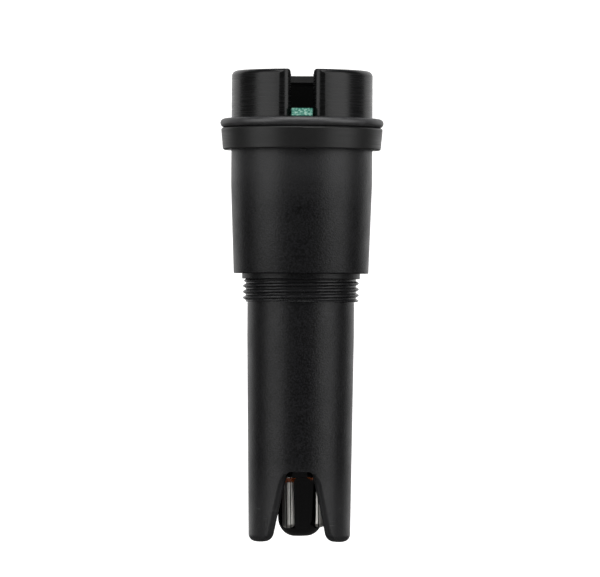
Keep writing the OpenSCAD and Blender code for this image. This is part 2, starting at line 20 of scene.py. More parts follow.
import bmesh
import bpy
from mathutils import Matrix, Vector

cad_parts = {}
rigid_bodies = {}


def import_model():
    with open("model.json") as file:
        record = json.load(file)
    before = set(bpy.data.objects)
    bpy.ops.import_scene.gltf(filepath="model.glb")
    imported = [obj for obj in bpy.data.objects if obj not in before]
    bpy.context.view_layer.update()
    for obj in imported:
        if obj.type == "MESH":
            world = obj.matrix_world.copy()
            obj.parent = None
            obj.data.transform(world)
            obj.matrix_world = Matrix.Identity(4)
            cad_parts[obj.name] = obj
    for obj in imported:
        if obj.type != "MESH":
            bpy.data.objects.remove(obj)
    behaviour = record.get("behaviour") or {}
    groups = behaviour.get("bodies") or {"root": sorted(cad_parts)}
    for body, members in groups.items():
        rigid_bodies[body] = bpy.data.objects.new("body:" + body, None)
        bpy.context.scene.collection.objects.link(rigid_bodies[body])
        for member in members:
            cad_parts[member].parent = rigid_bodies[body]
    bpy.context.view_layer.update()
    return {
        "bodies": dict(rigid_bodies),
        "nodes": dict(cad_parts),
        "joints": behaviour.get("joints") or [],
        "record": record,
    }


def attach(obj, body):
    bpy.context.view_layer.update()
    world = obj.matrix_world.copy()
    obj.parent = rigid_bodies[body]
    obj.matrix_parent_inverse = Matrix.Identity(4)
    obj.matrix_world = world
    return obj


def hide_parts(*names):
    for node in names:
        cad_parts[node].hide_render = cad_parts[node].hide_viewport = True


MM = 0.001
WELD_MM = 0.0005
PHOTO_WIDTH_PX = 600
SRGB_KNEE, SRGB_FOOT, SRGB_OFFSET, SRGB_POWER = 0.04045, 12.92, 0.055, 2.4
WHITE = (1.0, 1.0, 1.0, 1.0)
NOISE_ROUGHNESS = 0.55
NOISE_EDGES = (0.3, 0.7)
NONE_TO_FULL, FULL_TO_NONE = (0.0, 1.0), (1.0, 0.0)
ALONG_Z, FROM_AXIS = (0.0, 0.0, 1.0), (1.0, 1.0, 0.0)
# Sockets of a Mix node that mixes colours
MIX_SHARE, MIX_UNDER, MIX_OVER, MIX_COLOUR = 0, 6, 7, 2
# Longest part of a side that the rounding of a corner may take
CORNER_SHARE = 0.49
# Points along arcs, in degrees
FLARE_ARC_DEG = range(0, 79, 6)
CORNER_ARC_DEG = range(0, 91, 10)
# Where the two halves of the sleeve's mould meet
SEAMS_DEG = (90, 270)
# Turns above which an edge stays sharp
MOULDED_CREASE_DEG = 26.0
TONGUE_CREASE_DEG = 50.0
PAPER_CREASE_DEG = 60.0
LOG = logging.getLogger("water_quality_probe")

Socket = bpy.types.NodeSocket
Piece = bpy.types.Object
Pair = tuple[float, float]
Stops = tuple[tuple[float, str], ...]
Finishes = tuple[tuple[str, "Finish"], ...]


def linear(code: str) -> tuple[float, float, float, float]:
    """Turns an sRGB hex colour into linear values.

    Args:
        code: Six hex digits, with or without a leading #.

    Returns:
        Linear red, green and blue, and an alpha of 1.
    """
    digits = code.lstrip("#")
    channels = [int(digits[i:i + 2], 16) / 255 for i in (0, 2, 4)]
    values = [c / SRGB_FOOT if c <= SRGB_KNEE
              else ((c + SRGB_OFFSET) / (1 + SRGB_OFFSET)) ** SRGB_POWER for c in channels]
    return (values[0], values[1], values[2], 1.0)


def per_metre(size_mm: float) -> float:
    """Texture scale that gives a pattern this size in millimetres."""
    return 1.0 / (size_mm * MM)


# ------------------------------ finishes


@dataclass
class Skin:
    """The nodes of one material or world, with the few patterns that all finishes are made of."""

    tree: bpy.types.NodeTree
    shader: bpy.types.Node

    def add(self, kind: str, settings: dict | None = None, values: dict | None = None,
            links: dict | None = None) -> bpy.types.Node:
        """Adds one node with its settings, its input values and its links.

        Args:
            kind: The node's type name.
            settings: Attributes to set on the node.
            values: Input sockets, by name or index, and the values they get.
            links: Input sockets, by name or index, and the output sockets that feed them.

        Returns:
            The new node.
        """
        node = self.tree.nodes.new(kind)
        for name, value in (settings or {}).items():
            setattr(node, name, value)
        for socket, value in (values or {}).items():
            node.inputs[socket].default_value = value
        for socket, source in (links or {}).items():
            self.tree.links.new(source, node.inputs[socket])
        return node

    def drive(self, socket: str, source: Socket) -> None:
        """Lets an output feed one of the shader's inputs."""
        self.tree.links.new(source, self.shader.inputs[socket])

    def scaled_place(self, factors: Sequence[float]) -> Socket:
        """Gives the place on the piece, in the model's frame, with its axes scaled.

        Args:
            factors: What X, Y and Z, in metres, are multiplied by.

        Returns:
            The scaled place's output.
        """
        place = self.add("ShaderNodeTexCoord").outputs["Object"]
        return self.add("ShaderNodeVectorMath", {"operation": "MULTIPLY"}, {1: list(factors)},
                        {0: place}).outputs[0]

    def grain(self, size_mm: tuple[float, float, float], detail: float = 2.0) -> Socket:
        """Adds a noise pattern with its own grain along each axis.

        Args:
            size_mm: Grain size along X, Y and Z, in millimetres.
            detail: How many finer octaves the noise has.

        Returns:
            The noise's value output.
        """
        return self.add("ShaderNodeTexNoise", {"noise_dimensions": "3D"},
                        {"Scale": 1.0, "Detail": detail, "Roughness": NOISE_ROUGHNESS},
                        {"Vector": self.scaled_place([per_metre(size) for size in size_mm])}
                        ).outputs["Fac"]

    def zone(self, axes: tuple[float, float, float], ends_mm: Pair, values: Pair) -> Socket:
        """Gives a value that changes with the distance from the origin along some axes only.

        Args:
            axes: 1 for each axis that counts, else 0.
            ends_mm: The distances between which the value changes, in millimetres.
            values: The value at and below the first distance, and from the second one on.

        Returns:
            The value's output.
        """
        far = self.add("ShaderNodeVectorMath", {"operation": "LENGTH"},
                       links={0: self.scaled_place(axes)})
        return self.add("ShaderNodeMapRange", {"clamp": True},
                        {"From Min": ends_mm[0] * MM, "From Max": ends_mm[1] * MM,
                         "To Min": values[0], "To Max": values[1]},
                        {"Value": far.outputs["Value"]}).outputs["Result"]

    def tint(self, source: Socket, stops: Stops) -> None:
        """Lets a pattern colour the surface.

        Args:
            source: The pattern's output.
            stops: Positions on the pattern and the sRGB colour at each.
        """
        ramp = self.add("ShaderNodeValToRGB", links={"Fac": source})
        bar = ramp.color_ramp
        while len(bar.elements) < len(stops):
            bar.elements.new(0.5)
        for element, (position, code) in zip(bar.elements, stops):
            element.position = position
            element.color = linear(code)
        self.drive("Base Color", ramp.outputs["Color"])

    def mark(self, source: Socket, code: str, edges: Pair = NONE_TO_FULL) -> None:
        """Lays another colour over the surface's own, which already comes from a node.

        Args:
            source: The output of the pattern that says where.
            code: The sRGB colour.
            edges: The pattern's values where the colour starts and where it is full.
        """
        under = self.shader.inputs["Base Color"].links[0].from_socket
        share = self.add("ShaderNodeMapRange", {"clamp": True},
                         {"From Min": edges[0], "From Max": edges[1]}, {"Value": source})
        mix = self.add("ShaderNodeMix", {"data_type": "RGBA"}, {MIX_OVER: linear(code)},
                       {MIX_SHARE: share.outputs["Result"], MIX_UNDER: under})
        self.drive("Base Color", mix.outputs[MIX_COLOUR])


@dataclass(frozen=True)
class Finish:
    """A plain, even finish: one colour and one gloss all over."""

    name: str
    colour: str
    roughness: float
    ior: float = 1.5
    metallic: float = 0.0
    shine: float = 0.5

    def material(self) -> bpy.types.Material:
        """Makes the material.

        Returns:
            A material with a Principled shader and this finish's own pattern.
        """
        made = bpy.data.materials.new(self.name)
        made.use_nodes = True
        shader = made.node_tree.nodes["Principled BSDF"]
        for socket, value in (("Base Color", linear(self.colour)), ("Roughness", self.roughness),
                              ("Metallic", self.metallic), ("IOR", self.ior),
                              ("Specular IOR Level", self.shine)):
            shader.inputs[socket].default_value = value
        self.surface(Skin(made.node_tree, shader))
        return made

    def surface(self, skin: Skin) -> None:
        """Adds the finish's own pattern; an even finish has none."""

    def vary_gloss(self, skin: Skin, source: Socket, change: Pair) -> Socket:
        """Lets a pattern change the gloss.

        Args:
            skin: The material's nodes.
            source: The pattern's output.
            change: How much smoother than the finish's own roughness the surface is where the
                pattern is low, and how much rougher where it is high.

        Returns:
            The roughness's output, for a further step.
        """
        smoother, rougher = change
        rough = skin.add("ShaderNodeMapRange", {"clamp": True},
                         {"From Min": NOISE_EDGES[0], "From Max": NOISE_EDGES[1],
                          "To Min": self.roughness - smoother,
                          "To Max": self.roughness + rougher},
                         {"Value": source}).outputs["Result"]
        skin.drive("Roughness", rough)
        return rough


@dataclass(frozen=True)
class SparkErodedABS(Finish):
    """Black ABS from a spark-eroded mould: a pitted matt skin that breaks up the soft light.

    Real pits are near 0.05 mm wide, too fine to show, so they are drawn coarser.
    """

    pit_mm: float = 0.32
    pit_height_mm: float = 0.05
    pit_stops: Stops = ((0.36, "#020202"), (0.64, "#18181a"))
    cloud_mm: float = 4.0
    cloud_gloss: Pair = (0.04, 0.05)
    # Painted light: a paler colour at the top of the barrel that lifts the shadow under the flange
    wear_and_painted_light: str = "#242425"
    painted_light_top_mm: Pair = (6.0, 16.0)
    # Painted light: a paler colour towards the guard's tip, as if lit from below
    guard_painted_light: str = "#202021"
    guard_painted_light_mm: Pair = (66.0, 76.0)
    scuff: str = "#3a3a3b"
    scuff_mm: tuple[float, float, float] = (2.4, 2.4, 0.22)
    scuff_edges: Pair = (0.66, 0.80)
    thread_mm: Pair = (30.1, 34.8)
    thread_fade_mm: float = 0.2
    thread_polish: float = 0.12
    # Painted sheen: a paler colour on the thread that stands in for its highlights
    thread_painted_sheen: str = "#1c1c1d"

    def surface(self, skin: Skin) -> None:
        """Adds the pits, a paler colour at the top, which is painted light that lifts the flange's
        shadow, a paler colour on the guard, which is painted light as from below, with the guard's
        scuffs, slow clouds where the skin was handled, and the thread's smoother skin with a paler
        colour, which is a painted sheen.

        Args:
            skin: The material's nodes.
        """
        pits = skin.grain((self.pit_mm,) * 3)
        bump = skin.add("ShaderNodeBump",
                        values={"Strength": 1.0, "Distance": self.pit_height_mm * MM},
                        links={"Height": pits})
        skin.drive("Normal", bump.outputs["Normal"])
        skin.tint(pits, self.pit_stops)
        # Painted light at the top, under the flange
        skin.mark(skin.zone(ALONG_Z, self.painted_light_top_mm, FULL_TO_NONE), self.wear_and_painted_light)
        # Painted light towards the guard's tip; the scuffs laid over it are wear
        low = skin.zone(ALONG_Z, self.guard_painted_light_mm, NONE_TO_FULL)
        skin.mark(low, self.guard_painted_light)
        scuffs = skin.add("ShaderNodeMath", {"operation": "MULTIPLY"},
                          links={0: skin.grain(self.scuff_mm, detail=1.0), 1: low}).outputs[0]
        skin.mark(scuffs, self.scuff, self.scuff_edges)
        clouds = skin.grain((self.cloud_mm,) * 3, detail=3.0)
        clouded = self.vary_gloss(skin, clouds, self.cloud_gloss)
        top, foot = self.thread_mm
        change = (0.0, self.thread_polish)
        above = skin.zone(ALONG_Z, (top - self.thread_fade_mm, top), change)
        under = skin.zone(ALONG_Z, (foot, foot + self.thread_fade_mm), change)
        polish = skin.add("ShaderNodeMath", {"operation": "SUBTRACT"},
                          links={0: above, 1: under}).outputs[0]
        # Painted sheen: the thread's smoother zone is also painted paler
        skin.mark(polish, self.thread_painted_sheen, change)
        rough = skin.add("ShaderNodeMath", {"operation": "SUBTRACT"},
                         links={0: clouded, 1: polish})
        skin.drive("Roughness", rough.outputs[0])


@dataclass(frozen=True)
class SatinABS(Finish):
    """Black ABS from a stoned mould: smoother and glossier, with wear lines round the turn."""

    line_mm: float = 0.22
    run_mm: float = 9.0
    line_gloss: Pair = (0.05, 0.09)
    line_stops: Stops = ((0.35, "#020202"), (0.72, "#0f0f10"))
    flange: str = "#191919"
    flange_mm: Pair = (14.4, 14.8)
    flange_matt: float = 0.13
    inside_mm: Pair = (12.4, 13.0)
    inside_shine: float = 0.06
    peel_mm: tuple[float, float, float] = (0.5, 0.5, 0.3)
    peel_height_mm: float = 0.006

    def surface(self, skin: Skin) -> None:
        """Adds the wear lines, which run round the axis, a light orange peel, the paler and matter
        skin of the flange, and the dull inside of the crown.

        Args:
            skin: The material's nodes.
        """
        lines = skin.grain((self.run_mm, self.run_mm, self.line_mm), detail=3.0)
        change = (0.0, self.flange_matt)
        matter = skin.zone(FROM_AXIS, self.flange_mm, change)
        wear_and_painted_light = self.vary_gloss(skin, lines, self.line_gloss)
        rough = skin.add("ShaderNodeMath", {"operation": "ADD"}, links={0: wear_and_painted_light, 1: matter})
        skin.drive("Roughness", rough.outputs[0])
        skin.drive("Specular IOR Level",
                   skin.zone(FROM_AXIS, self.inside_mm, (self.inside_shine, self.shine)))
        skin.tint(lines, self.line_stops)
        skin.mark(matter, self.flange, change)
        bump = skin.add("ShaderNodeBump",
                        values={"Strength": 1.0, "Distance": self.peel_height_mm * MM},
                        links={"Height": skin.grain(self.peel_mm)})
        skin.drive("Normal", bump.outputs["Normal"])


@dataclass(frozen=True)
class MouldedNitrile(Finish):
    """Compression-moulded nitrile rubber: dark grey, satin, with a faint bloom."""

    bloom_mm: float = 1.6
    bloom_stops: Stops = ((0.3, "#202021"), (0.7, "#2c2c2e"))
    bloom_gloss: Pair = (0.05, 0.06)

    def surface(self, skin: Skin) -> None:
        """Adds the bloom, which turns patches of the rubber a little paler.

        Args:
            skin: The material's nodes.
        """
        bloom = skin.grain((self.bloom_mm,) * 3, detail=3.0)
        skin.tint(bloom, self.bloom_stops)
        self.vary_gloss(skin, bloom, self.bloom_gloss)


@dataclass(frozen=True)
class RoutedLaminate(Finish):
    """Glass-epoxy laminate: a green mask on its faces, and cut glass bundles on its edge."""

    bundle_mm: tuple[float, float, float] = (0.5, 0.5, 0.25)
    bundle_stops: Stops = ((0.36, "#2a6355"), (0.50, "#4c9382"), (0.64, "#a9cfc0"))
    bundle_height_mm: float = 0.03
    mask: str = "#1f6450"
    mask_edges: Pair = (0.6, 0.8)

    def surface(self, skin: Skin) -> None:
        """Adds the mottle of cut glass bundles, flat and wide as they lie in the laminate, and the
        mask where the surface looks up or down.

        Args:
            skin: The material's nodes.
        """
        bundles = skin.grain(self.bundle_mm, detail=4.0)
        skin.tint(bundles, self.bundle_stops)
        bump = skin.add("ShaderNodeBump",
                        values={"Strength": 1.0, "Distance": self.bundle_height_mm * MM},
                        links={"Height": bundles})
        skin.drive("Normal", bump.outputs["Normal"])
        facing = skin.add("ShaderNodeNewGeometry")
        axes = skin.add("ShaderNodeSeparateXYZ", links={0: facing.outputs["True Normal"]})
        level = skin.add("ShaderNodeMath", {"operation": "ABSOLUTE"}, links={0: axes.outputs["Z"]})
        skin.mark(level.outputs[0], self.mask, self.mask_edges)


@dataclass(frozen=True)
class PolishedEpoxy(Finish):
    """Cast black epoxy, turned and polished: deep gloss with faint turning marks."""

    mark_mm: tuple[float, float, float] = (6.0, 6.0, 0.15)
    mark_gloss: Pair = (0.0, 0.08)

    def surface(self, skin: Skin) -> None:
        """Adds the turning marks that the polish left."""
        self.vary_gloss(skin, skin.grain(self.mark_mm), self.mark_gloss)


@dataclass(frozen=True)
class DrawnSteel(Finish):
    """Stainless steel rod, drawn through a die: its fine lines spread each highlight round the rod,
    and dark lines, painted at its die marks, split it into streaks: painted shade that stands in
    for the dark streaks of its reflection.

    A painted dark line's place is a share of the rod's radius, counted across the rod from its axis
    towards +X. The axis is given by its X at one height and by its slope, as the rod leans.
    """

    line_mm: tuple[float, float, float] = (0.12, 0.12, 5.0)
    line_gloss: Pair = (0.05, 0.1)
    line_height_mm: float = 0.002
    bright: str = "#e6e4df"
    round_spread: float = 0.9
    rod_r_mm: float = 1.2
    axis_x_mm: float = 0.0
    axis_z_mm: float = -67.9
    axis_slope: float = -0.0209
    painted_dark_lines: tuple[float, ...] = ()
    painted_dark_line: str = "#161616"
    painted_dark_line_half: float = 0.06

    def surface(self, skin: Skin) -> None:
        """Adds the drawing lines, which lie along the rod, and the painted dark lines at the die
        marks.

        Args:
            skin: The material's nodes.
        """
        lines = skin.grain(self.line_mm)
        self.vary_gloss(skin, lines, self.line_gloss)
        bump = skin.add("ShaderNodeBump",
                        values={"Strength": 1.0, "Distance": self.line_height_mm * MM},
                        links={"Height": lines})
        skin.drive("Normal", bump.outputs["Normal"])
        skin.shader.inputs["Anisotropic"].default_value = self.round_spread
        around = skin.add("ShaderNodeTangent", {"direction_type": "RADIAL", "axis": "Z"})
        skin.drive("Tangent", around.outputs[0])
        skin.tint(lines, tuple(zip(NOISE_EDGES, (self.colour, self.bright))))
        scale = per_metre(self.rod_r_mm)
        across = skin.add("ShaderNodeVectorMath", {"operation": "DOT_PRODUCT"},
                          {1: [scale, 0.0, -self.axis_slope * scale]},
                          {0: skin.add("ShaderNodeTexCoord").outputs["Object"]}).outputs["Value"]
        axis = (self.axis_x_mm - self.axis_slope * self.axis_z_mm) / self.rod_r_mm
        # Painted shade: a dark line at each die mark, standing in for a dark streak in the rod's
        # reflection
        for share in self.painted_dark_lines:
            off = skin.add("ShaderNodeMath", {"operation": "SUBTRACT"}, {1: axis + share},
                           {0: across})
            far = skin.add("ShaderNodeMath", {"operation": "ABSOLUTE"}, links={0: off.outputs[0]})
            near = skin.add("ShaderNodeMath", {"operation": "SUBTRACT"}, {0: 1.0},
                            {1: far.outputs[0]})
            skin.mark(near.outputs[0], self.painted_dark_line,
                      (1 - 2 * self.painted_dark_line_half, 1 - self.painted_dark_line_half))


@dataclass(frozen=True)
class ClearAmberEpoxy(Finish):
    """Amber epoxy drawn up round a pin as it set: clear enough to glow at its thin edge."""

    clarity: float = 0.45

    def surface(self, skin: Skin) -> None:
        """Lets light through the resin."""
        skin.shader.inputs["Transmission Weight"].default_value = self.clarity


@dataclass(frozen=True)
class WornTinPlate(Finish):
    """Tin plate or set solder: bright metal with a slow mottle from its crystals."""

    crystal_mm: float = 0.4
    crystal_gloss: Pair = (0.06, 0.1)

    def surface(self, skin: Skin) -> None:
        """Adds the crystals' mottle to the gloss."""
        self.vary_gloss(skin, skin.grain((self.crystal_mm,) * 3), self.crystal_gloss)


class WireJacket(Enum):
    """Colours of the PVC insulation on the probe's wires."""

    RED = "#b8281c"
    WHITE = "#d8d6cf"
    YELLOW = "#d0a02a"

    def finish(self) -> Finish:
        """Extruded PVC in this colour: even and satin."""
        return Finish(f"pvc_insulation_{self.name.lower()}", self.value, roughness=0.42, ior=1.53)


SLEEVE_PLASTIC = SparkErodedABS("abs_spark_eroded_black", "#0c0c0d", 0.36, 1.54, shine=0.21)
PLUG_PLASTIC = SatinABS("abs_satin_black", "#0b0b0c", 0.25, 1.54, shine=0.24)
SEAL_RUBBER = MouldedNitrile("nitrile_moulded_dark_grey", "#222223", 0.44, 1.52, shine=0.62)
LAMINATE = RoutedLaminate("glass_epoxy_green_mask", "#4c9382", 0.42, 1.55)
CORE_EPOXY = PolishedEpoxy("epoxy_cast_black_polished", "#050506", 0.13, 1.55, shine=0.36)
# Each pin's painted dark lines lie where its reflection shows dark streaks
PIN_STEEL_LEFT = DrawnSteel("stainless_steel_drawn_left", "#d8d6d1", 0.35, metallic=1.0,
                            axis_x_mm=-2.42, painted_dark_lines=(-0.27, 0.40))
PIN_STEEL_RIGHT = DrawnSteel("stainless_steel_drawn_right", "#d8d6d1", 0.35, metallic=1.0,
                             axis_x_mm=3.76, painted_dark_lines=(-0.80, -0.15))
AMBER = ClearAmberEpoxy("epoxy_amber_clear", "#8c4219", 0.16, 1.55)
# Black nylon, made darker and duller than real: painted shade inside the crown
HEADER_NYLON_PAINTED_SHADE = Finish("nylon_glass_filled_black_painted_shade", "#020202", 0.60, 1.53, shine=0.06)
GOLD_PLATE = Finish("bronze_gold_plated", "#d9b25f", 0.22, metallic=1.0)
TIN = WornTinPlate("tin_plate_dull", "#b9b9b7", 0.34, metallic=1.0)
SOLDER = WornTinPlate("solder_set_bright", "#c6c6c4", 0.26, metallic=1.0)
CHIP_EPOXY = Finish("epoxy_moulded_black", "#1a1a1b", 0.5, 1.55)
TAN_CERAMIC = Finish("ceramic_fired_tan", "#a5865a", 0.45, 1.6)
BLACK_CERAMIC = Finish("ceramic_glazed_black", "#1c1c20", 0.3, 1.6)
BEAD_EPOXY = Finish("epoxy_dipped_dark_green", "#1d3a2a", 0.2, 1.55)
HEAT_PASTE = Finish("silicone_heat_paste_pale", "#cfccbe", 0.6, 1.45)
CAST_RESIN = Finish("epoxy_cast_brown", "#4a3420", 0.3, 1.55)


# ------------------------------ meshes


def rounded_path(corners: Sequence[tuple[float, float, float]], steps: int = 5) -> list[Pair]:
    """Rounds the corners of an outline.

    Args:
        corners: Radius, height and corner rounding of each point, in millimetres.
        steps: Points along each rounding.

    Returns:
        The outline's points, with an arc at each rounded corner.
    """
    path: list[Pair] = []
    for i, (r, z, rounding) in enumerate(corners):
        if rounding <= 0 or i in (0, len(corners) - 1):
            path.append((r, z))
            continue
        here = Vector((r, z))
        back = Vector(corners[i - 1][:2]) - here
        ahead = Vector(corners[i + 1][:2]) - here
        half = back.angle(ahead) / 2
        reach = min(rounding / math.tan(half), CORNER_SHARE * min(back.length, ahead.length))
        radius = reach * math.tan(half)
        start, end = here + back.normalized() * reach, here + ahead.normalized() * reach
        inward = (back.normalized() + ahead.normalized()).normalized()
        centre = here + inward * (radius / math.sin(half))
        first, last = start - centre, end - centre
        turn = first.angle_signed(last)
        for k in range(steps + 1):
            angle = -turn * k / steps
            c, s = math.cos(angle), math.sin(angle)
            path.append((centre.x + first.x * c - first.y * s,
                         centre.y + first.x * s + first.y * c))
    return path


def mesh_object(name: str, points: Iterable[Sequence[float]],
                faces: Iterable[Sequence[int]]) -> Piece:
    """Makes a mesh object from points in millimetres, with its faces turned outwards.

    Args:
        name: The object's name.
        points: Vertices in millimetres.
        faces: Vertex numbers of each face.

    Returns:
        The object, linked to the scene.
    """
    mesh = bpy.data.meshes.new(name)
    mesh.from_pydata([Vector(p) * MM for p in points], [], [list(f) for f in faces])
    shape = bmesh.new()
    shape.from_mesh(mesh)
    bmesh.ops.recalc_face_normals(shape, faces=shape.faces)
    shape.to_mesh(mesh)
    shape.free()
    made = bpy.data.objects.new(name, mesh)
    bpy.context.scene.collection.objects.link(made)
    return made


def copied(name: str, source: Piece) -> Piece:
    """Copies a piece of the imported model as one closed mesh, so that it can be carved.

    Args:
        name: The copy's name.
        source: The piece, which stays as it is.

    Returns:
        The copy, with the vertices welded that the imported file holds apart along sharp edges.
    """
    shape = bmesh.new()
    shape.from_mesh(source.data)
    shape.transform(source.matrix_world)
    bmesh.ops.remove_doubles(shape, verts=shape.verts, dist=WELD_MM * MM)
    shape.verts.index_update()
    points = [v.co / MM for v in shape.verts]
    faces = [[v.index for v in face.verts] for face in shape.faces]
    shape.free()
    return mesh_object(name, points, faces)


def lofted(name: str, rings: Sequence[Sequence[Sequence[float]]]) -> Piece:
    """Joins closed rings of points into a solid with flat ends.

    Args:
        name: The object's name.
        rings: Rings with the same number of points, in order.

    Returns:
        The solid.
    """
    count = len(rings[0])
    points = [p for ring in rings for p in ring]
    faces = [list(range(count)), [(len(rings) - 1) * count + i for i in range(count)]]
    for level in range(len(rings) - 1):
        for i in range(count):
            a, b = level * count + i, level * count + (i + 1) % count
            faces.append([a, b, b + count, a + count])
    return mesh_object(name, points, faces)


def carve(target: Piece, cutters: Sequence[Piece]) -> None:
    """Cuts solids out of a solid and removes the cutters.

    Args:
        target: The solid that is cut.
        cutters: The solids that are taken off.
    """
    for cutter in cutters:
        cut = target.modifiers.new(cutter.name, "BOOLEAN")
        cut.operation = "DIFFERENCE"
        cut.solver = "EXACT"
        cut.object = cutter
    graph = bpy.context.evaluated_depsgraph_get()
    result = bpy.data.meshes.new_from_object(target.evaluated_get(graph))
    target.modifiers.clear()
    target.data = result
    for cutter in cutters:
        bpy.data.objects.remove(cutter)


def shade_smooth(piece: Piece, crease_deg: float) -> None:
    """Shades a piece smooth, apart from edges sharper than an angle.

    Args:
        piece: The object whose mesh is shaded.
        crease_deg: Edges that turn more than this stay sharp.
    """
    mesh = piece.data
    mesh.polygons.foreach_set("use_smooth", [True] * len(mesh.polygons))
    mesh.set_sharp_from_angle(angle=math.radians(crease_deg))
    mesh.update()


def wear(piece: Piece, finish: Finish) -> None:
    """Gives a piece its finish.

    Args:
        piece: The object that is dressed.
        finish: The finish it gets, as a material of its own.
    """
    piece.data.materials.clear()
    piece.data.materials.append(finish.material())
    LOG.info("%s: %s", piece.name, finish.name)


# ------------------------------ sub-assemblies


@dataclass
class SubAssembly:
    """A group of pieces that go together."""

    finishes: ClassVar[Finishes] = ()

    def dress(self, frame: dict) -> None:
        """Gives the group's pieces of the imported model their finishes.
        """
        for node, finish in self.finishes:
            wear(frame["nodes"][node], finish)


